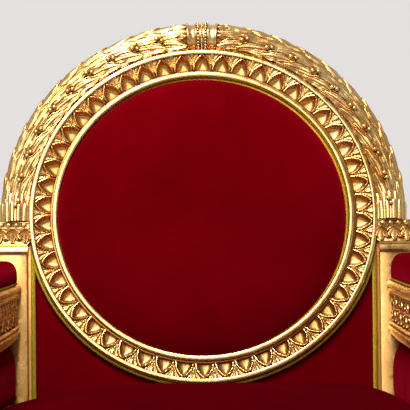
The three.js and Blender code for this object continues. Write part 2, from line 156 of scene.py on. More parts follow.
def in_arm(side, across, y, up):
    """A point of an arm's own axes: across outwards from its middle, y backwards, up square to it.

    Towards the back each arm spreads a little inwards and sits at its own height, as the old frame does.
    """
    rearward = np.clip((y - ARM_FRONT - 72) / 480, 0, 1)
    across = across - np.where(across < 0, ARM_SPREAD * np.minimum(2 * rearward, 1), 0)
    up = up + ARM_LIFT[side] * rearward
    along = y * math.cos(ARM_SLOPE) - up * math.sin(ARM_SLOPE)
    height = ARM_BASE_Z + y * math.sin(ARM_SLOPE) + up * math.cos(ARM_SLOPE)
    return room(side * (ARM_X + across), along, height)


def back_line(z):
    """How far behind the hinge line the raked face of the back lies, at a height in the room."""
    return (z - HINGE_Z) * math.tan(RECLINE)


def lean(w):
    """How far the posts draw in towards the seat, at a height in the back's plane."""
    return STILE_LEAN * (CAPITAL_BOTTOM - w)


# ---- building meshes ----

# by a look's first word: the material slot, and the angle above which an edge stays sharp
FAMILIES = {"gilded": ("gilded_wood", 38), "crimson": ("crimson_velvet", 60), "gold": ("gold_gimp", 80)}


def put(name, data):
    thing = bpy.data.objects.new(name, data)
    SCENE.collection.objects.link(thing)
    return thing


def unit_ball():
    ball = bmesh.new()
    bmesh.ops.create_icosphere(ball, subdivisions=2, radius=1.0)
    verts = np.array([v.co[:] for v in ball.verts])
    faces = [[v.index for v in f.verts] for f in ball.faces]
    ball.free()
    return verts, faces


BALL_VERTS, BALL_FACES = unit_ball()


class Form:
    """Collects lofts, shells and balls, and makes one mesh object of them."""

    def __init__(self):
        self.verts = []
        self.faces = []
        self.count = 0

    def add(self, verts, faces):
        verts = verts.reshape(-1, 3)
        self.faces.extend([[i + self.count for i in face] for face in faces])
        self.verts.append(verts)
        self.count += len(verts)

    def loft(self, rings, closed=False, caps=True):
        """Rings of points joined side by side; closed joins the last to the first."""
        rings = np.asarray(rings)
        n, m = rings.shape[:2]
        i = np.arange(n if closed else n - 1)[:, None]
        j = np.arange(m)[None, :]
        row, next_row, next_j = i * m, (i + 1) % n * m, (j + 1) % m
        quads = np.stack([row + j, row + next_j, next_row + next_j, next_row + j], axis=-1)
        faces = quads.reshape(-1, 4).tolist()
        if caps and not closed:
            faces.append(list(range(m))[::-1])
            faces.append([(n - 1) * m + q for q in range(m)])
        self.add(rings, faces)
        return self

    def shell(self, front, rear):
        """Two grids of the same size, joined round their edges."""
        return self.loft(np.concatenate([front, rear[:, ::-1]], axis=1))

    def ball(self, centre, size):
        """A bead; size is one radius, or three along the frame's axes."""
        self.add(BALL_VERTS * np.array(size) * MM + centre, BALL_FACES)

    def piece(self, name, look, node=None, sharp=None):
        """One mesh object; node is the solid it stands for, if any."""
        slot, usual = FAMILIES[look.name.split("_")[0]]
        mesh = bpy.data.meshes.new(name)
        mesh.from_pydata(np.concatenate(self.verts).tolist(), [], self.faces)
        work = bmesh.new()
        work.from_mesh(mesh)
        bmesh.ops.recalc_face_normals(work, faces=work.faces)
        work.to_mesh(mesh)
        work.free()
        mesh.shade_smooth()
        mesh.set_sharp_from_angle(angle=math.radians(sharp or usual))
        mesh.materials.append(look)
        thing = put(name, mesh)
        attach(thing, "root")
        if node:
            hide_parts(node)
        return thing


def arc(centre, radius, start, end, steps):
    """Points on part of a circle, angles in degrees."""
    angles = np.radians(np.linspace(start, end, steps))
    return [(centre[0] + radius * math.cos(a), centre[1] + radius * math.sin(a)) for a in angles]


def rounded_rectangle(half_x, half_y, radius, steps=4):
    corners = ((1, 1, 0), (-1, 1, 90), (-1, -1, 180), (1, -1, 270))
    points = []
    for sx, sy, start in corners:
        middle = (sx * (half_x - radius), sy * (half_y - radius))
        points += arc(middle, radius, start, start + 90, steps)
    return np.array(points)


def smoothstep(low, high, value):
    share = np.clip((value - low) / (high - low), 0, 1)
    return share * share * (3 - 2 * share)


def bump(value, width):
    return np.exp(-((value / width) ** 2))


def full_turn(steps):
    return np.linspace(0, 2 * math.pi, steps, endpoint=False)


def folds(x, y, seed, octaves=3):
    """Soft unevenness of stuffed cloth."""
    return noise.fractal(Vector((x, y, seed)), 1, 2, octaves)


# ---- materials ----

class Nodes:
    """Short ways to wire a material or the world. A value is a number, a colour or another node's output."""

    def __init__(self, owner, shader="Principled BSDF"):
        owner.use_nodes = True
        self.tree = owner.node_tree
        self.shader = self.tree.nodes[shader]
        self.coords = self.new("ShaderNodeTexCoord", {}).outputs

    def feed(self, node, inputs):
        for key, value in inputs.items():
            socket = node.inputs[key]
            if isinstance(value, bpy.types.NodeSocket):
                self.tree.links.new(value, socket)
            elif socket.type == "RGBA":
                socket.default_value = (*value, 1.0)
            else:
                socket.default_value = value

    def new(self, kind, inputs, **settings):
        node = self.tree.nodes.new(kind)
        for key, value in settings.items():
            setattr(node, key, value)
        self.feed(node, inputs)
        return node

    def set(self, **values):
        """Inputs of the shader itself, with _ for a space."""
        self.feed(self.shader, {key.replace("_", " "): value for key, value in values.items()})

    def noise(self, scale, detail=4.0, roughness=0.55, stretch=None):
        place = self.coords["Object"]
        if stretch:
            place = self.new("ShaderNodeMapping", {"Vector": place, "Scale": stretch}).outputs["Vector"]
        inputs = {"Vector": place, "Scale": scale, "Detail": detail, "Roughness": roughness}
        return self.new("ShaderNodeTexNoise", inputs).outputs["Fac"]

    def ramp(self, source, stops):
        node = self.new("ShaderNodeValToRGB", {"Fac": source})
        elements = node.color_ramp.elements
        while len(elements) < len(stops):
            elements.new(0.5)
        for element, (position, colour) in zip(elements, stops):
            element.position = position
            element.color = (*colour, 1.0)
        return node.outputs["Color"]

    def grey(self, source, low, high, start=0.0, end=1.0):
        inputs = {"Value": source, "From Min": start, "From Max": end, "To Min": low, "To Max": high}
        return self.new("ShaderNodeMapRange", inputs).outputs["Result"]

    def mix(self, share, first, second, blend="MIX"):
        """Socket 0 is the share, 6 and 7 are the two colours."""
        inputs = {0: share, 6: first, 7: second}
        return self.new("ShaderNodeMix", inputs, data_type="RGBA", blend_type=blend).outputs[2]

    def maths(self, operation, first, second):
        return self.new("ShaderNodeMath", {0: first, 1: second}, operation=operation).outputs[0]

    def occlusion(self, distance):
        inputs = {"Distance": distance}
        return self.new("ShaderNodeAmbientOcclusion", inputs, samples=8, only_local=True).outputs["AO"]

    def bumps(self, *layers):
        """Each layer is (height socket, strength, distance in metres)."""
        inputs = {}
        for height, strength, distance in layers:
            inputs.update({"Height": height, "Strength": strength, "Distance": distance})
            inputs["Normal"] = self.new("ShaderNodeBump", inputs).outputs["Normal"]
        self.set(Normal=inputs["Normal"])


LEAF_TONES = [(0.3, (0.66, 0.365, 0.105)), (0.55, (0.81, 0.52, 0.195)), (0.75, (0.91, 0.65, 0.31))]
# painted shade: the plain tones are the leaf tones painted darker, to hold down the bright reflection on the flat
# gilding of the posts
SHADED_PLAIN_TONES = [(0.3, (0.44, 0.22, 0.060)), (0.55, (0.60, 0.33, 0.105)), (0.75, (0.74, 0.47, 0.18))]


# painted shade for the gold: a reddish brown in hollows and near black in creases; the bole is the red ground where
# the leaf is rubbed through
PAINTED_RECESS_SHADE = (0.45, 0.165, 0.022)
PAINTED_CREASE_SHADE = (0.16, 0.055, 0.010)
BOLE = (0.30, 0.11, 0.045)


def gilding(name, tones, wear, recess, polish, crease_width=0.0035):
    """Burnished gold leaf rubbed to the bole in places, with painted shade from ambient occlusion: redder in hollows,
    dark in creases.
    """
    look = bpy.data.materials.new(name)
    m = Nodes(look)
    # painted shade: ambient occlusion over the recess distance darkens hollows towards reddish brown, and over the
    # crease width darkens creases towards near black
    recess_shade = m.grey(m.occlusion(recess), 1.0, 0.0, 0.38, 0.95)
    crease = m.grey(m.occlusion(crease_width), 1.0, 0.0, 0.34, 0.88)
    leaf = m.mix(m.maths("MULTIPLY", recess_shade, 0.88), m.ramp(m.noise(9.0, 5.0), tones), PAINTED_RECESS_SHADE)
    leaf = m.mix(m.maths("MULTIPLY", crease, 0.90), leaf, PAINTED_CREASE_SHADE)
    rub = m.maths("MULTIPLY", m.grey(m.noise(38.0, 6.0, 0.7), 0.0, 1.0, 0.60, 0.70), wear)
    rough = m.grey(m.noise(60.0, 3.0), *polish, 0.3, 0.7)
    m.set(Base_Color=m.mix(rub, leaf, BOLE), Metallic=m.grey(rub, 1.0, 0.35),
          Roughness=m.maths("ADD", rough, m.maths("MULTIPLY", recess_shade, 0.22)))
    m.bumps((m.noise(150.0, 3.0), 0.14, 0.0010), (m.noise(900.0, 2.0), 0.08, 0.0004))
    return look


def velvet(name, deep, lit, sheen):
    """Short silk pile: dark face on, glowing where the pile turns away."""
    look = bpy.data.materials.new(name)
    m = Nodes(look)
    m.set(Metallic=0.0, Roughness=0.85, Sheen_Weight=sheen, Sheen_Roughness=0.45,
          Sheen_Tint=(0.95, 0.012, 0.05), Specular_IOR_Level=0.0)
    brushed = m.ramp(m.noise(7.0, 6.0, 0.6), [(0.25, deep), (0.75, lit)])
    speckle = m.grey(m.noise(650.0, 2.0), 0.82, 1.12)
    m.set(Base_Color=m.mix(1.0, brushed, speckle, "MULTIPLY"))
    m.bumps((m.noise(11.0, 5.0), 0.10, 0.012), (m.noise(1400.0, 2.0), 0.35, 0.0006))
    return look


def gimp_thread(name):
    """Metal thread over yellow silk."""
    look = bpy.data.materials.new(name)
    m = Nodes(look)
    tone = m.noise(420.0, 3.0)
    thread = m.ramp(tone, [(0.3, (0.29, 0.18, 0.008)), (0.55, (0.48, 0.32, 0.018)), (0.8, (0.70, 0.50, 0.07))])
    shade = m.grey(m.occlusion(0.004), 0.25, 1.0, 0.2, 0.9)
    m.set(Base_Color=m.mix(1.0, thread, shade, "MULTIPLY"), Metallic=0.55, Specular_IOR_Level=0.15,
          Roughness=m.grey(tone, 0.35, 0.6))
    m.bumps((m.noise(1600.0, 2.0), 0.5, 0.0005))
    return look


def bare_board(name):
    look = bpy.data.materials.new(name)
    m = Nodes(look)
    grain = m.noise(14.0, 6.0, 0.6, stretch=(1.0, 9.0, 9.0))
    m.set(Base_Color=m.ramp(grain, [(0.3, (0.23, 0.13, 0.06)), (0.7, (0.44, 0.28, 0.14))]),
          Roughness=m.grey(grain, 0.55, 0.8))
    m.bumps((grain, 0.25, 0.001))
    return look


GOLD = gilding("gilded_carving", LEAF_TONES, 0.06, 0.032, (0.15, 0.30))
GOLD_ROLL = gilding("gilded_leaves", LEAF_TONES, 0.05, 0.010, (0.21, 0.37), 0.004)
GOLD_CAPITAL = gilding("gilded_capital", LEAF_TONES, 0.06, 0.008, (0.22, 0.38))
GOLD_PLAIN = gilding("gilded_plain", SHADED_PLAIN_TONES, 0.12, 0.012, (0.22, 0.42))
VELVET = velvet("crimson_velvet", (0.076, 0.0, 0.0010), (0.116, 0.0, 0.0020), 1.0)
# painted shade: the arm pads and side panels have the back's velvet painted slightly darker, and with less sheen
VELVET_ARM_SHADED = velvet("crimson_velvet_arm", (0.066, 0.0, 0.0010), (0.094, 0.0, 0.0018), 0.17)
# painted shade: the seat's velvet is the back's painted less than half as bright, with little sheen, standing in for
# shade on a top the lamps above light strongly
VELVET_SEAT_SHADED = velvet("crimson_velvet_seat", (0.034, 0.0, 0.0008), (0.054, 0.0, 0.0014), 0.10)
THREAD = gimp_thread("gold_thread")
BOARD = bare_board("seat_board")


# ---- the ring ----

def ring_section():
    """The closed section as (radius, n) points, starting at the rear of the bore."""
    inner = [(RING_INNER, RING_REAR), (RING_INNER, -10), (RING_INNER, 1.6), (281.5, 3.0), (282.6, 3.9)]
    fillet = [(284.5, 4.2), (287, 4.3), (289.8, 4.2), (290.7, 3.6), (291.0, 2.2)]
    cove = [(291.3, -1.0), (292.0, -3.0), (294.0, -3.2), (295.2, -1.0)]
    band = [(r, 7.0 * (r - BAND_INNER) / BAND_WIDTH) for r in np.linspace(BAND_INNER, BAND_OUTER, 31)]
    outer = [(326.5, 7.9), (327.3, 8.9), (329, 9.2), (332, 9.2), (334.4, 9.0), (335.6, 8.0), (RING_OUTER, 6.6)]
    rear = [(RING_OUTER, -10), (RING_OUTER, RING_REAR)]
    return np.array(inner + fillet + cove + band + outer + rear)


def scoop_relief(share, unit):
    """Height of the carved band: share runs from its inner to its outer edge, unit is -0.5 to 0.5."""
    pitch = math.pi * (BAND_INNER + BAND_OUTER) / RING_UNITS
    across = np.abs(unit) * pitch
    reach = np.clip(share / ARCH_TIP, 0, 0.995)
    arch = ARCH_HALF * (1 - reach ** 2) ** 0.85
    slope = ARCH_HALF * 0.85 * 2 * reach * (1 - reach ** 2) ** -0.15 / (ARCH_TIP * BAND_WIDTH)
    distance = (across - arch) / np.sqrt(1 + slope ** 2)
    beyond = np.maximum(share - ARCH_TIP, 0) * BAND_WIDTH
    distance = np.where(beyond > 0, np.hypot(across, beyond), distance)
    from_rim = np.clip((-distance - RIM_HALF) / SCOOP_REACH, 0, 1)
    scoop = -(8.5 + 4.5 * share) * np.sqrt(np.maximum(1 - (1 - from_rim) ** 2, 0))
    rim = 2.0 * np.exp(-((distance / 1.9) ** 4)) * (1 - smoothstep(0.93, 1.0, share))
    ground = -4.4 * smoothstep(1.6, 3.0, distance)
    valley = np.maximum(pitch / 2 - arch - 2, 0.5)
    middle = pitch / 2 - across
    dart = 4.4 * bump(middle, 0.26 * valley + 0.5)
    leaflet = 3.0 * bump(middle - 0.62 * valley, 0.13 * valley + 0.5)
    growth = smoothstep(0.12, 0.4, share) * smoothstep(1.4, 3.0, distance)
    return scoop + rim + ground + (dart + leaflet) * growth


def make_ring():
    section = ring_section()
    per_unit = 30
    angles = np.arange(RING_UNITS * per_unit) * 2 * math.pi / (RING_UNITS * per_unit)
    radius, n = section.T
    share = (radius - BAND_INNER) / BAND_WIDTH
    turn = angles[:, None] / (2 * math.pi) * RING_UNITS
    unit = turn - np.round(turn)
    in_band = (share >= 0) & (share <= 1) & (n > -3)
    n = n + np.where(in_band, scoop_relief(share, unit), 0.0)
    form = Form().loft(on_ring(angles[:, None], radius, n), closed=True)
    form.piece("back_ring_carved", GOLD, "back_ring", sharp=50)


# ---- the laurel arch ----

def roll_centre(angle):
    """The arch stands a little taller than a true circle."""
    return ROLL_CENTRE + CROWN_RISE * np.cos(angle) ** 2


def on_roll(angle, tilt, lift):
    """A point over the roll: angle from the crown, tilt outwards from its front, both in radians."""
    distance = ROLL_RADIUS + lift
    flank = ROLL_RADIUS * np.minimum(tilt - INNER_FLANK, 0)
    turned = np.maximum(tilt, INNER_FLANK)
    radius = roll_centre(angle) + distance * np.sin(turned) + flank * math.cos(INNER_FLANK)
    radius = np.maximum(radius, RING_OUTER + 0.5)
    return on_ring(angle, radius, ROLL_N + distance * np.cos(turned) - flank * math.sin(INNER_FLANK))


def roll_body(form):
    tilts = np.radians(np.linspace(-90, 90, 25))
    front = [(ROLL_CENTRE + ROLL_CORE * math.sin(t), ROLL_N + ROLL_CORE * math.cos(t)) for t in tilts]
    rear = [(ROLL_CENTRE + ROLL_CORE, -26), (ROLL_CENTRE + 23, -38),
            (ROLL_CENTRE + 18, ROLL_REAR), (ROLL_SEAT, ROLL_REAR)]
    section = np.array(front + rear)
    section[:, 0] = np.maximum(section[:, 0], ROLL_SEAT)
    reach = math.pi / 2 - math.asin(ARCH_FOOT / ROLL_CENTRE)
    angles = np.linspace(-reach, reach, 181)[:, None]
    radius, n = section.T
    radius = np.where(radius > 340, radius + roll_centre(angles) - ROLL_CENTRE, ROLL_SEAT)
    form.loft(on_ring(angles, radius, n))


LEAF_PITCH = math.radians(8.2)
LEAF_GROUPS = 10
LEAF_FOOT = math.radians(87)
LEAF_ACROSS = np.array([-1, -0.95, -0.88, -0.78, -0.62, -0.46, -0.30, -0.15, 0,
                        0.15, 0.30, 0.46, 0.62, 0.78, 0.88, 0.95, 1])
# each row: (tilts at foot and tip), length, width, rise, shift along the roll in leaf pitches
LEAF_ROWS = (
    ((110, 108), 60, 25, 4.2, 0.30),
    ((80, 74), 62, 26, 4.8, 0.05),
    ((50, 40), 64, 25, 5.4, -0.30),
    ((-52, -56), 60, 18, 3.0, -0.45),
    ((-25, -46), 64, 25, 7.4, 0.10),
    ((19, 6), 66, 27, 7.4, 0.00),
)
# leaves that close the gap between the rows beside the crown band: tilts, length, width, seed
CROWN_LEAVES = (((38, 27), 46, 21, 71), ((4, -10), 44, 20, 74))
CROWN_LEAF_RISE = 7.2


def laurel_leaf(form, side, angle, tilts, length, width, rise, seed):
    """A pointed leaf along the roll: tilts at its foot and tip, its tip standing over the next leaf's foot."""
    along = np.linspace(0, 1, 22)[:, None]
    across = LEAF_ACROSS
    outline = np.power(np.sin(math.pi * (0.12 + 0.88 * along ** 1.05)), 0.58)
    lobes = 1 - 0.13 * np.abs(np.sin(math.pi * (3.4 * along + 0.3 * seed))) * np.minimum(3 * along, 1)
    half = np.maximum(width / 2 * outline * lobes, 0.3)
    blade = 1.2 * (1 - across ** 2) + 0.6 * bump(across, 0.10)
    blade = blade + 1.1 * bump(np.abs(across) - 0.90, 0.10)
    blade = blade - bump(np.abs(across) - 0.30, 0.08) - 1.2 * bump(np.abs(across) - 0.62, 0.10)
    lift = -1.6 + rise * along ** 1.3 + blade * np.minimum(outline * 1.4, 1)
    lift = lift + 0.5 * np.sin(along * 8 + seed * 1.7)
    centre = np.radians(tilts[0] + (tilts[1] - tilts[0]) * along ** 1.4)
    turned = centre + across * half / ROLL_RADIUS
    start = angle + length / 2 / ROLL_CENTRE
    angles = side * (start - along * length / ROLL_CENTRE)
    top = on_roll(angles, turned, lift)
    under_turned = centre + np.array([0.97, -0.97]) * half / ROLL_RADIUS
    under = on_roll(angles, under_turned, -3.0 + 0.35 * rise * along)
    form.loft(np.concatenate([top, under], axis=1))


def laurel_side(form, side):
    for group in range(LEAF_GROUPS):
        middle = LEAF_FOOT - (group + 0.5) * LEAF_PITCH
        for row, (tilts, length, width, rise, shift) in enumerate(LEAF_ROWS):
            wobble = noise.noise(Vector((group * 1.7 + 3, row * 2.3, side * 5.1)))
            angle = max(middle - shift * LEAF_PITCH, (LEAF_STOP + length / 2) / ROLL_CENTRE)
            turned = (tilts[0] + 5 * wobble, tilts[1] + 3 * wobble)
            laurel_leaf(form, side, angle, turned, length * (1 + 0.06 * wobble), width, rise, group * 5 + row)
        berries(form, side, middle, group)
    for tilts, length, width, seed in CROWN_LEAVES:
        angle = (LEAF_STOP + length / 2) / ROLL_CENTRE
        laurel_leaf(form, side, angle, tilts, length, width, CROWN_LEAF_RISE, seed)


def berries(form, side, middle, group):
    """Two berries (shift, tilt and radius of each) on a bed between the groups."""
    for k, (shift, tilt, size) in enumerate(((0.44, -13, 4.8), (0.63, -6, 4.4))):
        angle = middle + shift * LEAF_PITCH
        turned = math.radians(tilt + 3 * math.sin(group * 2.1 + k))
        form.ball(on_roll(side * angle, turned, 5.0), size)
    bed = on_roll(side * (middle + 0.53 * LEAF_PITCH), math.radians(-10), -3.0)
    form.ball(bed, (8, 6, 8))


def crown_band(form):
    """A strap over the crown: end fillets, coves, two rows of large beads and one of small between them."""
    lifts = [(-29, 0), (-29, 4.6), (-28.2, 5.2), (-26.2, 5.2), (-25.6, 4.6), (-25.2, 2.2), (-22, 1.0), (-18, 0.6),
             (-14, 1.2), (-12.6, 2.6), (-12.2, 4.8), (-11.2, 4.8), (-10.8, 2.0), (-4, 1.6)]
    lifts = lifts + [(-x, lift) for x, lift in reversed(lifts)]
    tilts = np.radians(np.linspace(-92, 96, 40))
    rows = []
    for x, lift in lifts:
        distance = ROLL_RADIUS + lift
        radius = np.maximum(ROLL_CENTRE + CROWN_RISE + distance * np.sin(tilts), ROLL_SEAT)
        front = on_ring(x / ROLL_CENTRE, radius, ROLL_N + distance * np.cos(tilts))
        rear = on_ring(x / ROLL_CENTRE, np.array([ROLL_CENTRE + 20, ROLL_SEAT]), ROLL_REAR - 0.4)
        rows.append(np.concatenate([front, rear]))
    form.loft(rows)
    for column, size, pitch in ((-7.4, 3.0, 12.5), (7.4, 3.0, 12.5), (0.0, 1.7, 6.5)):
        for tilt in np.arange(-74, 92, pitch):
            form.ball(on_roll(column / ROLL_CENTRE, math.radians(tilt), 2.8), size)


def arch_foot(form, side, count, spread, head, lift):
    """Close reeds with round heads, the leaves' stalks, where the garland springs from its capital."""
    tilts = np.radians(np.linspace(9 - spread, 9 + spread, 8 * count + 1))
    crest = np.abs(np.sin(np.linspace(0, math.pi * count, len(tilts)))) ** 0.6
    heads = math.radians(head) - 0.020 * crest
    foot = math.radians(92.7)
    rows = []
    for share, fullness in ((0, 0), (0.03, 0.55), (0.08, 0.85), (0.18, 1), (0.5, 0.9), (0.8, 0.8), (1, 0.75)):
        angles = heads + (foot - heads) * share
        rows.append(on_roll(side * angles, tilts, -2.4 + fullness * (lift + 4.4 * crest)))
    rear = on_roll(side * foot, tilts, -8.0)
    form.loft([*rows, rear], caps=False)


def make_arch():
    form = Form()
    roll_body(form)
    for side in (-1, 1):
        laurel_side(form, side)
        arch_foot(form, side, 6, 82, 84.6, 0.8)
        arch_foot(form, side, 7, 95, 87.4, 2.8)
    crown_band(form)
    form.piece("laurel_arch_carved", GOLD_ROLL, "laurel_arch", sharp=55)


# ---- posts with their capitals and rear legs ----

def post_faces(z):
    """Front and rear of a post at a height: raked, then upright at the seat, then swept back to the foot."""
    seat_face = back_line(SEAT_WOOD_TOP)
    depth = STILE_DEPTH / BACK_COS
    if z >= SEAT_WOOD_TOP:
        front = back_line(z)
        return front, front + depth
    if z >= BEND_Z:
        return seat_face, seat_face + depth
    a, b, c = BEND_Z - 2 * KNEE_Z, 2 * (KNEE_Z - BEND_Z), BEND_Z - z
    t = (-b - math.sqrt(max(b * b - 4 * a * c, 0))) / (2 * a)

    def bend(top, knee, foot):
        return (1 - t) ** 2 * top + 2 * t * (1 - t) * knee + t * t * foot

    return bend(seat_face, seat_face + 6, 62), bend(seat_face + depth, seat_face + depth + 16, 104)


def post_body(form, side):
    top = HINGE_Z + (RING_CENTRE_W + ARCH_FOOT - 8) * BACK_COS
    heights = sorted({0.0, 2.0, *np.linspace(6, 290, 22), BEND_Z, RAIL_BOTTOM, RAIL_TOP, SEAT_WOOD_TOP - 2,
                      SEAT_WOOD_TOP, SEAT_WOOD_TOP + 3, *np.linspace(420, top, 10)})
    rows = []
    for z in heights:
        front, rear = post_faces(z)
        trim = 1.6 if z < 1 else 0.0
        outline = rounded_rectangle(STILE_WIDTH / 2 - trim, (rear - front) / 2 - trim, 2.6)
        x = outline[:, 0] + STILE_INNER + STILE_WIDTH / 2
        y = outline[:, 1] + (front + rear) / 2
        w = y * BACK_SIN + (z - HINGE_Z) * BACK_COS - RING_CENTRE_W
        rows.append(room(side * (x - lean(w)), y, z))
    form.loft(rows)


def clear_of_ring(x, w):
    edge = np.sqrt(np.maximum((RING_OUTER + GAP) ** 2 - w ** 2, 0))
    return np.maximum(x, edge)


def face_leaf(form, place, along, out, length, width, curl, lobes=3):
    """A drooping leaf on a flat face, curling away from it at its tip."""
    s = np.linspace(0, 1, 18)[:, None]
    t = np.linspace(-1, 1, 15)
    outline = 0.62 + 0.38 * np.sin(math.pi * np.clip(s * 1.1, 0, 1))
    outline = outline * np.sqrt(np.clip(1 - np.clip((s - 0.62) / 0.38, 0, 1) ** 2.4, 0.0, 1))
    scallop = 1 - 0.10 * np.abs(np.sin(s * math.pi * lobes))
    half = np.maximum(width / 2 * outline * scallop, 0.2)
    lift = 0.8 + 1.9 * np.sqrt(1 - 0.85 * t ** 2) + 0.9 * bump(t, 0.14) + curl * s ** 3
    lift = lift - 0.9 * bump(np.abs(t) - 0.45 - 0.15 * s, 0.12)
    sideways = np.cross(along, out)

    def face(across, height):
        return (place + (s * length)[..., None] * along * MM + (across * half)[..., None] * sideways * MM
                + height[..., None] * out * MM)

    under = face(np.array([0.96, -0.96]), curl * s ** 3 * 0.7 - 1.2)
    form.loft(np.concatenate([face(t, lift), under], axis=1))


UP_BACK = BACK_SIN * Y + BACK_COS * Z
OUT_BACK = BACK_SIN * Z - BACK_COS * Y
# each leaflet: its turn in degrees, length, width and curl
PALMETTE = ((-50, 17, 8, 1.4), (50, 17, 8, 1.4), (-26, 25, 10, 3.0), (26, 25, 10, 3.0), (0, 30, 12, 5.0))


def palmette(form, place, sideways, out):
    """A drooping acanthus: five lobed leaflets fanned from the bead moulding, the middle one curling forwards."""
    for turn, length, width, curl in PALMETTE:
        swing = math.radians(turn)
        along = -UP_BACK * math.cos(swing) + sideways * math.sin(swing)
        face_leaf(form, place + along * 1.5 * MM, along, out, length, width, curl)


def capital(form, side):
    half_x, half_n, middle_n = 30.0, 15.0, -9.0
    middle_x = STILE_INNER + STILE_WIDTH / 2
    profile = [(6, -1), (6, 1.6), (7.2, 2.6), (9, 3.0), (16.5, 3.0), (18, 2.2), (18.8, 3.0), (20, 4.6), (22.8, 4.8),
               (23.8, 3.6), (25, 0.4), (28, -0.8), (36, -1.4), (48, -0.6), (54.4, 0.8), (55, 2.2), (56.4, 2.2),
               (57, 0.2), (61, -1.0), (65.4, 0.2), (66, 2.0), (67, 2.0), (67.2, -2)]
    rows = []
    for height, projection in profile:
        outline = rounded_rectangle(half_x + projection, half_n + projection, 1.6)
        w = CAPITAL_BOTTOM + height
        x = middle_x + outline[:, 0] - np.where(outline[:, 0] < 0, 6, 0)
        x = np.maximum(clear_of_ring(x, w), STILE_INNER - 0.2 if height < 26 else 0)
        rows.append(on_back(side * x, outline[:, 1] + middle_n, w))
    form.loft(rows)
    bead_w = CAPITAL_BOTTOM + 61
    leaf_w = CAPITAL_BOTTOM + 55
    front_n = middle_n + half_n
    for x in (-22, -7.5, 7, 21.5):
        form.ball(on_back(side * (middle_x + x), front_n + 1.2, bead_w), (6.4, 5.4, 5.4))
    for n in (-22, -8):
        form.ball(on_back(side * (middle_x + half_x + 0.8), front_n + n, bead_w), (4.6, 5.4, 4.6))
    for x in (-26, -1, 24):
        palmette(form, on_back(side * (middle_x + x), front_n - 0.2, leaf_w), X, OUT_BACK)
    palmette(form, on_back(side * (middle_x + half_x - 1.6), front_n - 16, leaf_w), OUT_BACK, side * X)


def rebate(form, side):
    """The step in the post's inner edge that the upholstery is nailed into."""
    rows = []
    for w in (PANEL_FOOT + 4, BRAID_TOP):
        outer = STILE_INNER + 1 - lean(w)
        spots = ((outer - REBATE, BRAID_FOOT), (outer, BRAID_FOOT), (outer, -16), (outer - REBATE, -16))
        rows.append([on_back(side * x, n, w) for x, n in spots])
    form.loft(rows)


def make_posts():
    for side, word in SIDES:
        form = Form()
        post_body(form, side)
        rebate(form, side)
        form.piece(f"{word}_stile_gilded", GOLD_PLAIN, f"{word}_stile")
        form = Form()
        capital(form, side)
        form.piece(f"{word}_capital_carved", GOLD_CAPITAL)


# ---- upholstery of the back ----

def braid_shown(angle):
    """How much of the braid the pad leaves in view: it laps over it most at the lower left."""
    return 2.2 + 3.4 * np.cos(angle - math.radians(55))


def make_back_pad():
    shares = [0.001, *np.linspace(0.03, 0.90, 40), 0.92, 0.94, 0.955, 0.968, 0.979, 0.988, 0.994, 0.998, 1.0]
    angles = full_turn(240)
    lip = RING_INNER - 0.6 - np.maximum(braid_shown(angles), 0)
    rows = []
    for share in shares:
        radius = share * lip
        n = -4.0 + 29.0 * (1 - share ** 4.6) ** 0.62
        soft = np.array([folds(r * math.sin(a) / 120, r * math.cos(a) / 120, 4.2) for r, a in zip(radius, angles)])
        rows.append(on_ring(angles, radius, n + 1.2 * soft * (1 - share ** 6)))
    rows.append(on_ring(angles, lip - 0.7, -5.2))
    for radius, n in ((270.6, -8), (270.6, -12), (280.4, -14.2), (280.4, -29.9), (0.001, -29.9)):
        rows.append(on_ring(angles, radius, n))
    pad = Form().loft(rows, caps=False).piece("back_pad_velvet", VELVET, "back_pad")


def gimp_relief(phase, across):
    """Woven braid: two interlaced cords between looped edges. Phase counts loops, across is -1 to 1."""
    twist = np.sin(2 * math.pi * phase)
    cord_a = bump(across - 0.38 * twist, 0.26)
    cord_b = bump(across + 0.38 * twist, 0.26)
    return 0.7 + 1.5 * np.maximum(cord_a, cord_b) + 0.25 * np.cos(4 * math.pi * phase) * (np.abs(across) > 0.6)


def gimp_strip(form, start, end, place, count, width, foot=-1.2, closed=False):
    """A strip of braid; place(along, across in mm, height) gives its points."""
    steps = count * 6
    along = np.arange(steps + (0 if closed else 1)) / steps
    phase = along * count
    across = np.linspace(-1, 1, 9)
    edge = 1 + 0.10 * np.cos(2 * math.pi * phase * 2)
    height = gimp_relief(phase[:, None], across)
    height[:, (0, -1)] *= 0.45
    offset = across * width / 2 * np.where(np.abs(across) > 0.7, edge[:, None], 1.0)
    position = start + (end - start) * along[:, None]
    top = place(position, offset, height)
    base = place(position, np.array([0.9, -0.9]) * width / 2, foot)
    form.loft(np.concatenate([top, base], axis=1), closed=closed)


def make_ring_gimps():
    form = Form()
    gimp_strip(form, 0.0, 2 * math.pi,
               lambda a, across, h: on_ring(a, 276.2 + across, -6.2 + h), 430, BRAID_WIDTH, closed=True)
    form.piece("ring_inner_gimp_woven", THREAD, "ring_inner_gimp")
    form = Form()
    edge = math.pi - math.asin((STILE_INNER - REBATE) / 341)
    gimp_strip(form, edge, 2 * math.pi - edge,
               lambda a, across, h: on_ring(a, 339.3 + across, -0.6 + h), 200, 5.8, foot=BRAID_FOOT)
    form.piece("ring_outer_gimp_woven", THREAD, "ring_outer_gimp")


def make_stile_gimps():
    for side, word in SIDES:
        form = Form()
        middle = PANEL_EDGE - 4.6 - BRAID_INSET

        def place(w, across, h):
            x = middle - lean(w) + across
            clear = np.maximum(RING_OUTER + 1.0 - np.hypot(x, w), 0)
            return on_back(side * (x + clear), -1.8 + h, w)

        gimp_strip(form, PANEL_FOOT, BRAID_TOP, place, 125, BRAID_WIDTH, foot=BRAID_FOOT)
        form.piece(f"{word}_stile_gimp_woven", THREAD, f"{word}_stile_gimp")


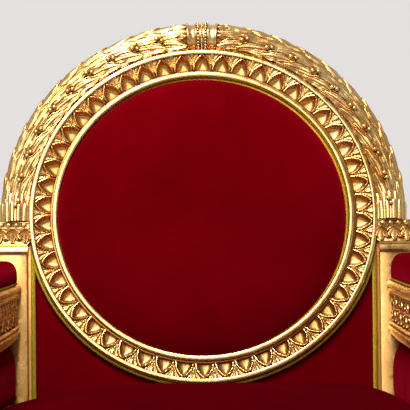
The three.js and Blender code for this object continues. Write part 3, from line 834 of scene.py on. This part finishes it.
def make_lower_panel():
    columns = np.linspace(-1, 1, 90)
    rows = np.linspace(0, 1, 36)
    front = np.zeros((len(rows), len(columns), 3))
    rear = np.zeros_like(front)
    for i, up in enumerate(rows):
        for j, column in enumerate(columns):
            w = PANEL_FOOT + up * (PANEL_TOP - PANEL_FOOT)
            for _ in range(6):
                x = column * (PANEL_EDGE - 4 - lean(w))
                limit = -math.sqrt(max((RING_OUTER + 4) ** 2 - x * x, 0))
                w = PANEL_FOOT + up * (min(limit, PANEL_TOP) - PANEL_FOOT)
            near_edge = (1 - abs(column) ** 14) * (1 - up ** 14)
            fold = folds(x / 70, w / 160, 8.1)
            front[i, j] = on_back(x, -11.0 + 5.0 * near_edge + fold * near_edge, w)
            rear[i, j] = on_back(x, RING_REAR, w)
    panel = Form().shell(front, rear).piece("lower_back_velvet", VELVET, "lower_back_panel")


def make_outer_back():
    radius = RING_OUTER - 1
    top = [(radius * math.sin(a), radius * math.cos(a)) for a in np.linspace(-1.6, 1.6, 90)]

    def edge(w):
        return PANEL_EDGE - 0.3 - lean(w)

    right = [(edge(w), w) for w in np.linspace(-24, PANEL_FOOT, 20)]
    foot = [(x, PANEL_FOOT) for x in np.linspace(edge(PANEL_FOOT), -edge(PANEL_FOOT), 22)[1:-1]]
    left = [(-x, w) for x, w in reversed(right)]
    outline = np.array(top + right + foot + left)
    middle = np.array([0.0, -90.0])
    rows = []
    for share, n in ((1, -30.4), (1, -38), (0.992, -41), (0.975, -42.6), (0.9, -43.6), (0.7, -44.6), (0.45, -45.4),
                     (0.2, -45.9), (0.001, -46)):
        spot = middle + (outline - middle) * share
        rows.append(on_back(spot[:, 0], n, spot[:, 1]))
    Form().loft(rows).piece("outer_back_velvet", VELVET, "outer_back_panel", sharp=50)


# ---- arms ----

def arm_section():
    """The moulded section of an arm: half width and height, from its foot to its top."""
    cove = arc((19.5, 15.5), 12, -75, -10, 7)
    torus = arc((30.5, 19.2), 3.6, -80, 80, 8)
    rail = arc((29.0, 101.6), 5.4, -70, 60, 9)
    points = [(20, 0), (21.6, 0.6), (22.4, 3), *cove, *torus, (30.6, 24.4), (30.6, 31), (29.6, 31.8), (26, 32),
              (25.4, 33), (25.4, 82.4), (26, 83.4), (29.6, 83.8), (30.6, 84.6), (30.6, 91.4), (30.0, 93), (29.4, 95),
              *rail, (30.2, 107.6), (29.6, ARM_HEIGHT)]
    return np.array(points)


def back_face_y(up):
    """Where a line at this height above an arm's foot meets the post's face."""
    y = 20.0
    for _ in range(4):
        height = ARM_BASE_Z + y * math.sin(ARM_SLOPE) + up * math.cos(ARM_SLOPE)
        y = back_line(height) - GAP + up * math.sin(ARM_SLOPE)
    return y


def arm_bar(form, side):
    half = arm_section()
    section = np.concatenate([half, half[::-1] * [-1, 1]])
    across, up = section[:, 0], section[:, 1]
    rear = back_face_y(up)
    rows = [in_arm(side, across, rear + (ARM_FRONT + 60 - rear) * share, up) for share in np.linspace(0, 1, 24)]
    form.loft(rows)


def unit_rows(vectors):
    return vectors / np.linalg.norm(vectors, axis=1)[:, None]


def tube(path, sideways, out, radii):
    """Rings of eight points round a path, radii in mm."""
    turns = full_turn(8)[None, :, None]
    return path[:, None, :] + np.cos(turns) * sideways[:, None, :] * radii * MM + np.sin(turns) * out * radii * MM


def frieze_scroll(form, side, face, y, flip):
    """One scroll of the rinceau: a spiral stem, a flower in its eye and leaves round it."""
    out = side * face * X

    def spot(along, up, lift=0.0):
        return in_arm(side, face * (FRIEZE_DEPTH + lift), y + along, FRIEZE_MIDDLE + up)

    turn = np.linspace(0, 1, 44)
    spiral = 20.5 * (1 - turn) ** 1.05 + 3.2
    angle = flip * (math.pi * 0.5 + turn * math.pi * 2.9)
    path = spot(spiral * np.cos(angle), spiral * np.sin(angle), 0.8)
    sideways = unit_rows(np.cross(unit_rows(np.gradient(path, axis=0)), out))
    form.loft(tube(path, sideways, out, (3.0 - 1.3 * turn)[:, None, None]))
    form.ball(spot(0.0, 0.0, 1.6), (2.6, 3.9, 3.9))
    for k in range(7):
        bearing = k * 2 * math.pi / 7 + 0.4 * flip
        root, tip = (spot(reach * math.cos(bearing), reach * math.sin(bearing)) for reach in (15.5, 25))
        along = (tip - root) / np.linalg.norm(tip - root)
        face_leaf(form, root, along, out, 10.5, 8.5, 1.0, lobes=2)


def arm_beads(form, side, face):
    for up in (27.8, 88.0):
        for y in np.arange(ARM_FRONT + 84, 8, 7.6):
            form.ball(in_arm(side, face * 30.2, y, up), 3.0)


def rosette(form, place, axis, sideways, radius):
    """A flower of two rings of petals round a bead."""
    outer = (10, radius, radius * 0.55, 0.0, 0.0)
    inner = (6, radius * 0.62, radius * 0.5, 0.3, 2.0)
    for count, reach, width, start, lift in (outer, inner):
        for k in range(count):
            bearing = start + k * 2 * math.pi / count
            along = math.cos(bearing) * sideways + math.sin(bearing) * Z
            root = place + along * 0.12 * radius * MM + axis * lift * MM
            face_leaf(form, root, along, axis, reach * 0.88, width, 1.8, lobes=1)
    form.ball(place + axis * 4.0 * MM, radius * 0.2)


def rosettes(form, side, to_place, front, outer, height, radius):
    """One flower on the front of a block and one on its outer side."""
    rosette(form, to_place(0, -front, height), -Y, X, radius)
    rosette(form, to_place(outer, 0, height), side * X, Y, radius)


def block(form, to_place, half_x, half_y, steps):
    """A moulded block: steps are heights and how far the outline stands out there."""
    rows = []
    for height, projection in steps:
        outline = rounded_rectangle(half_x + projection, half_y + projection, 2.0)
        rows.append(to_place(outline[:, 0], outline[:, 1], height))
    form.loft(rows)


def arm_block(form, side):
    middle = ARM_FRONT + 38
    steps = [(0, -1), (1, 0), (10, 0), (11, 1.8), (14, 3), (19, 3.8), (24, 3), (26.5, 1.2), (27.5, 0), (84, 0),
             (85.5, 1.4), (88, 3), (94, 3.6), (100, 5), (113, 5), (115, 4.4), (118, 1.5), (119, -2)]

    def to_place(a, b, h):
        return in_arm(side, a, middle + b, h)

    block(form, to_place, 33, 36, steps)
    rosettes(form, side, to_place, 36.2, 33.2, 56.0, 24)


def make_arms():
    for side, word in SIDES:
        form = Form()
        arm_bar(form, side)
        arm_block(form, side)
        for face in (-1, 1):
            arm_beads(form, side, face)
            for k, y in enumerate(np.arange(ARM_FRONT + 110, 0, 46)):
                frieze_scroll(form, side, face, y, 1 if k % 2 else -1)
        form.piece(f"{word}_arm_carved", GOLD_CAPITAL, f"{word}_arm")


def arm_pad_ring(side, share):
    """The pad's section at a share of its length, drawn in at its rounded ends."""
    end = min(share, 1 - share) / 0.035
    full = math.sqrt(max(1 - (1 - min(end, 1)) ** 2, 0.0))
    half = ARM_PAD_HALF * (0.86 + 0.14 * full)
    height = (ARM_PAD_HEIGHT + 3.0 * side * share) * (0.42 + 0.58 * full)
    flank = [(half * 0.93, 0.2), (half * 0.94, 5.5), (half * 0.99, 8), (half, 13)]
    flank += [(half * math.cos(a) ** 0.62, 15 + (height - 15) * math.sin(a) ** 0.8)
              for a in np.linspace(0.14, math.pi / 2, 10)]
    section = np.array(flank + [(-x, z) for x, z in reversed(flank[:-1])])
    ripple = 0.5 * math.sin(share * 41 + side) + 0.4 * math.sin(share * 17)
    up = ARM_PAD_FOOT + section[:, 1] + ripple * full * (section[:, 1] > 20)
    y = ARM_PAD_FRONT + (ARM_PAD_REAR - ARM_PAD_FRONT) * share + 0.268 * (up - ARM_PAD_FOOT) * share
    return in_arm(side, section[:, 0], y, up)


def arm_pad_braid(form, side):
    for face in (-1, 1):
        gimp_strip(form, ARM_PAD_FRONT + 4, ARM_PAD_REAR - 1,
                   lambda y, across, h: in_arm(side, face * (29.2 + h), y, ARM_PAD_FOOT + 3.3 + across),
                   150, 5.6, foot=-2.0)
    gimp_strip(form, -27, 27, lambda x, across, h: in_arm(side, x, ARM_PAD_FRONT - h, ARM_PAD_FOOT + 3.3 + across),
               17, 5.6, foot=-2.0)


def make_arm_pads():
    shares = np.concatenate([[0, 0.003, 0.008, 0.015, 0.025], np.linspace(0.036, 0.964, 32),
                             [0.975, 0.985, 0.992, 0.997, 1.0]])
    for side, word in SIDES:
        form = Form()
        form.loft([arm_pad_ring(side, share) for share in shares])
        pad = form.piece(f"{word}_arm_pad_velvet", VELVET_ARM_SHADED, f"{word}_arm_pad")
        form = Form()
        arm_pad_braid(form, side)
        form.piece(f"{word}_arm_pad_braid", THREAD)


def make_side_panels():
    for side, word in SIDES:
        rows = np.linspace(0, 1, 26)
        columns = np.linspace(0, 1, 60)
        inner = np.zeros((len(rows), len(columns), 3))
        outer = np.zeros_like(inner)
        for i, up in enumerate(rows):
            for j, along in enumerate(columns):
                z = RAIL_TOP + 1 + up * 100
                for _ in range(4):
                    rear = back_line(z) - 1.0
                    front = LEG_Y + (38 if z < SEAT_WOOD_TOP + 1 else 31)
                    y = front + (rear - front) * along
                    ceiling = ARM_BASE_Z + y * math.sin(ARM_SLOPE) - 1.0
                    z = RAIL_TOP + 1 + up * (ceiling - RAIL_TOP - 1)
                swell = (1 - abs(2 * up - 1) ** 5) * (1 - abs(2 * along - 1) ** 30)
                puff = swell * (2 + 19.0 * float(smoothstep(425, 470, z)))
                crease = folds(y / 60, z / 110, side * 3.3, 4)
                inner[i, j] = room(side * (371 - puff + 2.0 * crease * swell), y, z)
                outer[i, j] = room(side * (394 + 4 * swell - crease * swell), y, z)
        panel = Form().shell(inner, outer).piece(f"{word}_side_panel_velvet", VELVET_ARM_SHADED, f"{word}_side_panel")


# ---- front legs and seat ----

def turned_leg(form, side):
    section = [(0.01, 0), (20, 0), (21.5, 0.8), *arc((17, 14), 10.5, -60, 62, 10), (17.4, 30), (16.6, 34), (17, 38),
               *arc((18.4, 44.5), 3.8, -70, 70, 6), (18.2, 50), (17.8, 53), (18.4, 60), (22.5, 140), (27.2, 238),
               (27.6, 246), (27.0, 250.5), (24.6, 253), (24, 257), (24.6, 261), *arc((27.5, 271), 6.2, -75, 75, 8),
               (27.6, 282), (26.4, 290), (27, RAIL_BOTTOM - 4), (0.01, RAIL_BOTTOM - 4)]
    section = np.array(section)
    angles = full_turn(160)
    heights = section[:, 1:]
    on_shaft = (heights > 56) & (heights < 248)
    flute = np.abs(np.sin(angles * FLUTES / 2)) ** 0.7
    radius = section[:, :1] - np.where(on_shaft, 4.2 * flute, 0.0)
    rows = room(side * ARM_X + radius * np.cos(angles), LEG_Y + radius * np.sin(angles), heights)
    form.loft(rows, caps=False)


def make_front_legs():
    corner = [(RAIL_BOTTOM + up, out)
              for up, out in ((-4, -7), (-3.4, -4), (0, -0.6), (1, 1.6), (7, 2), (8.5, 1), (11, 0))]
    corner += [(SEAT_WOOD_TOP + up, out) for up, out in ((-12, 0), (-11, 1.6), (-8, 2.8), (-1, 2.8), (0, 1))]
    post = [(SEAT_WOOD_TOP + up, out) for up, out in ((-2, 0), (9, 0), (10.5, -1.5), (14, -5))]
    post += [(ARM_BASE_Z + up, out) for up, out in ((-52, -5), (-48.5, -1.6), (-47, 0), (-19.4, 0))]
    for side, word in SIDES:
        def to_place(a, b, h):
            return room(side * (ARM_X + a), LEG_Y + b, h)

        form = Form()
        turned_leg(form, side)
        block(form, to_place, 34, 34, corner)
        block(form, to_place, 30, 30, post)
        rosettes(form, side, to_place, 34.2, 34.2, 350.0, 22)
        form.piece(f"{word}_front_leg_carved", GOLD, f"{word}_front_leg")


def rail_section():
    """Outward reach and height of a seat rail's moulded face, then its plain inner face."""
    return np.array([(-18, 0), (20, 0), *arc((20.6, 6.6), 3.4, -80, 80, 8), (20, 11), (19.4, 13), (19.4, 50),
                     (20, 51.5), *arc((19, 58), 6.0, -50, 60, 8), (25.4, 64.6), (25.8, 66.2), (25, 67), (-18, 67)])


def rail(form, start, end, outward):
    """A moulded rail with a row of beads along its face."""
    section = rail_section()
    start, end = np.array([start, end], dtype=float)
    rows = []
    for share in np.linspace(0, 1, 16):
        x, y = start + (end - start) * share
        rows.append(room(x + outward[0] * section[:, 0], y + outward[1] * section[:, 0], RAIL_BOTTOM + section[:, 1]))
    form.loft(rows)
    length = np.linalg.norm(end - start)
    count = int(length / 9)
    for k in range(count):
        x, y = start + (end - start) * (k + 0.5) / count
        form.ball(room(x + outward[0] * 19.6, y + outward[1] * 19.6, RAIL_BOTTOM + 46.5), 3.2)


def make_rails():
    half = ARM_X - 36.9
    form = Form()
    rail(form, (-half, LEG_Y - 6), (half, LEG_Y - 6), (0, -1))
    form.piece("seat_front_rail_moulded", GOLD, "seat_front_rail")
    rear = back_line(SEAT_WOOD_TOP) - GAP
    for side, word in SIDES:
        form = Form()
        rail(form, (side * (ARM_X - 4), LEG_Y + 37.3), (side * (ARM_X - 4), rear), (side, 0))
        form.piece(f"{word}_seat_rail_moulded", GOLD, f"{word}_seat_rail")
    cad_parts["seat_back_rail"].material_slots[0].material = GOLD_PLAIN
    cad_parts["seat_deck"].material_slots[0].material = BOARD


def cushion_outline():
    """The cushion from above, stepped in round the arm posts at its front corners."""
    front, rear = LEG_Y - 30.0, -36.0
    right = [(0.0, front), *[(x, front) for x in np.linspace(40, 322, 10)], *arc((324, front + 22), 22, -90, 0, 6),
             *[(346, y) for y in np.linspace(front + 30, LEG_Y + 36, 4)], (348, LEG_Y + 41), (354, LEG_Y + 44.5),
             (360, LEG_Y + 48), (363.5, LEG_Y + 56),
             *[(364 - 12 * share ** 2, LEG_Y + 80 + share * (rear - LEG_Y - 110)) for share in np.linspace(0, 1, 16)],
             *arc((334, rear - 18), 18, 0, 90, 6), *[(x, rear) for x in np.linspace(310, 30, 9)], (0.0, rear)]
    left = [(-x, y) for x, y in reversed(right[1:-1])]
    return np.array(right + left)


def cushion_height(x, y):
    """Top of the seat: crowned, and fuller towards the right than the left."""
    u = np.clip(x / 366, -1, 1)
    v = np.clip((y - (LEG_Y - 36) / 2 + 16) / 268, -1, 1)
    across = np.where(u > 0, np.abs(u) ** 7, np.abs(u) ** 3.3)
    return SEAT_EDGE_Z + SEAT_CROWN * (1 - across) * (1 - np.abs(v) ** 3.4)


def cushion_ring(share, rise):
    """The cushion's outline drawn in by a share, at a rise from its foot to its top surface."""
    outline = cushion_outline()
    middle = np.array([0.0, LEG_Y / 2 - 10])
    spot = middle + (outline - middle) * share
    foot = DECK_TOP + GAP
    z = foot + (cushion_height(spot[:, 0], spot[:, 1]) - foot) * rise
    against_back = smoothstep(-110, -40, spot[:, 1]) * np.maximum(z - 410, 0) * math.tan(RECLINE)
    if rise == 1:
        z = z + [1.3 * folds(x / 90, y / 90, 2.7, 4) for x, y in spot]
    return room(spot[:, 0], spot[:, 1] + against_back, z)


def make_cushion():
    rows = [cushion_ring(share, 0.0) for share in (0.001, 0.5, 0.9, 0.975)]
    rows += [cushion_ring(0.985 + 0.015 * math.sin(math.pi * rise) ** 0.6, rise)
             for rise in (0.03, 0.15, 0.3, 0.45, 0.6, 0.75, 0.88, 0.96)]
    rows += [cushion_ring(share, 1.0) for share in (0.984, 0.970, 0.95, 0.92, 0.88, 0.83, 0.77, 0.69, 0.6, 0.5,
                                                    0.4, 0.3, 0.2, 0.1, 0.001)]
    cushion = Form().loft(rows, caps=False).piece("seat_cushion_velvet", VELVET_SEAT_SHADED, "seat_cushion", sharp=70)
    form = Form()
    edge = cushion_ring(0.988, 0.985)
    sideways = unit_rows(np.cross(np.roll(edge, -1, axis=0) - np.roll(edge, 1, axis=0), Z))
    form.loft(tube(edge, sideways, Z, 1.7), closed=True)
    form.piece("seat_cushion_piping", THREAD)


# ---- studio ----

def make_floor():
    size = 14.0
    mesh = bpy.data.meshes.new("floor")
    mesh.from_pydata([(-size, -size, 0), (size, -size, 0), (size, size, 0), (-size, size, 0)], [], [(0, 1, 2, 3)])
    paint = bpy.data.materials.new("floor_paint")
    m = Nodes(paint)
    m.set(Base_Color=m.ramp(m.noise(1.2), [(0.3, (0.66, 0.65, 0.63)), (0.7, (0.70, 0.69, 0.67))]), Roughness=0.9)
    mesh.materials.append(paint)
    floor = put("floor", mesh)


def area_light(name, place, target, size, energy, colour):
    data = bpy.data.lights.new(name, "AREA")
    data.shape = "RECTANGLE"
    data.size, data.size_y = size
    data.energy = energy
    data.color = colour
    lamp = put(name, data)
    lamp.location = place
    lamp.rotation_euler = (Vector(target) - Vector(place)).to_track_quat("-Z", "Y").to_euler()


def make_lights():
    """Soft boxes, and a world that is darker in front of the chair than behind it."""
    target = (0, 0.25, 0.85)
    area_light("key_softbox", (-0.4, -0.8, 2.55), (0, 0.22, 1.0), (0.9, 0.7), 62, (1.0, 0.985, 0.96))
    area_light("front_softbox", (-1.15, -2.9, 2.8), target, (2.3, 1.9), 62, (1.0, 0.985, 0.965))
    area_light("fill_softbox", (2.8, -2.4, 1.5), target, (1.4, 1.8), 7, (1.0, 0.98, 0.95))
    world = bpy.data.worlds.new("studio")
    SCENE.world = world
    sky = Nodes(world, "Background")
    way = sky.new("ShaderNodeSeparateXYZ", {"Vector": sky.coords["Generated"]}).outputs["Y"]
    depth = sky.grey(way, 0.0, 1.0, -1.0, 1.0)
    sky.set(Color=sky.ramp(depth, [(0.25, (0.22, 0.22, 0.22)), (0.85, (0.775, 0.745, 0.73))]))
    SCENE.view_settings.view_transform = "Standard"


LENS_MM = 163.404878
CAMERA_PLACE = (-11.0, -3500.0, 686.0)


def make_camera():
    """The photo's viewpoint: a long lens, level with the arms, looking slightly up."""
    pitch, yaw, roll = math.radians(2.19), math.radians(0.23), math.radians(-0.45)
    ahead = np.array([math.sin(yaw) * math.cos(pitch), math.cos(yaw) * math.cos(pitch), math.sin(pitch)])
    level = np.array([math.cos(yaw), -math.sin(yaw), 0.0])
    above = np.cross(level, ahead)
    right = level * math.cos(roll) + above * math.sin(roll)
    up = above * math.cos(roll) - level * math.sin(roll)
    data = bpy.data.cameras.new("camera")
    data.sensor_width = 36.0
    data.lens = LENS_MM
    camera = put("camera", data)
    matrix = Matrix(np.column_stack([right, up, -ahead]).tolist()).to_4x4()
    matrix.translation = Vector(room(*CAMERA_PLACE))
    camera.matrix_world = matrix
    SCENE.camera = camera


make_camera()
make_lights()
make_floor()
make_ring()
make_arch()
make_posts()
make_back_pad()
make_ring_gimps()
make_stile_gimps()
make_lower_panel()
make_outer_back()
make_arms()
make_arm_pads()
make_side_panels()
make_front_legs()
make_rails()
make_cushion()

bpy.context.view_layer.update()
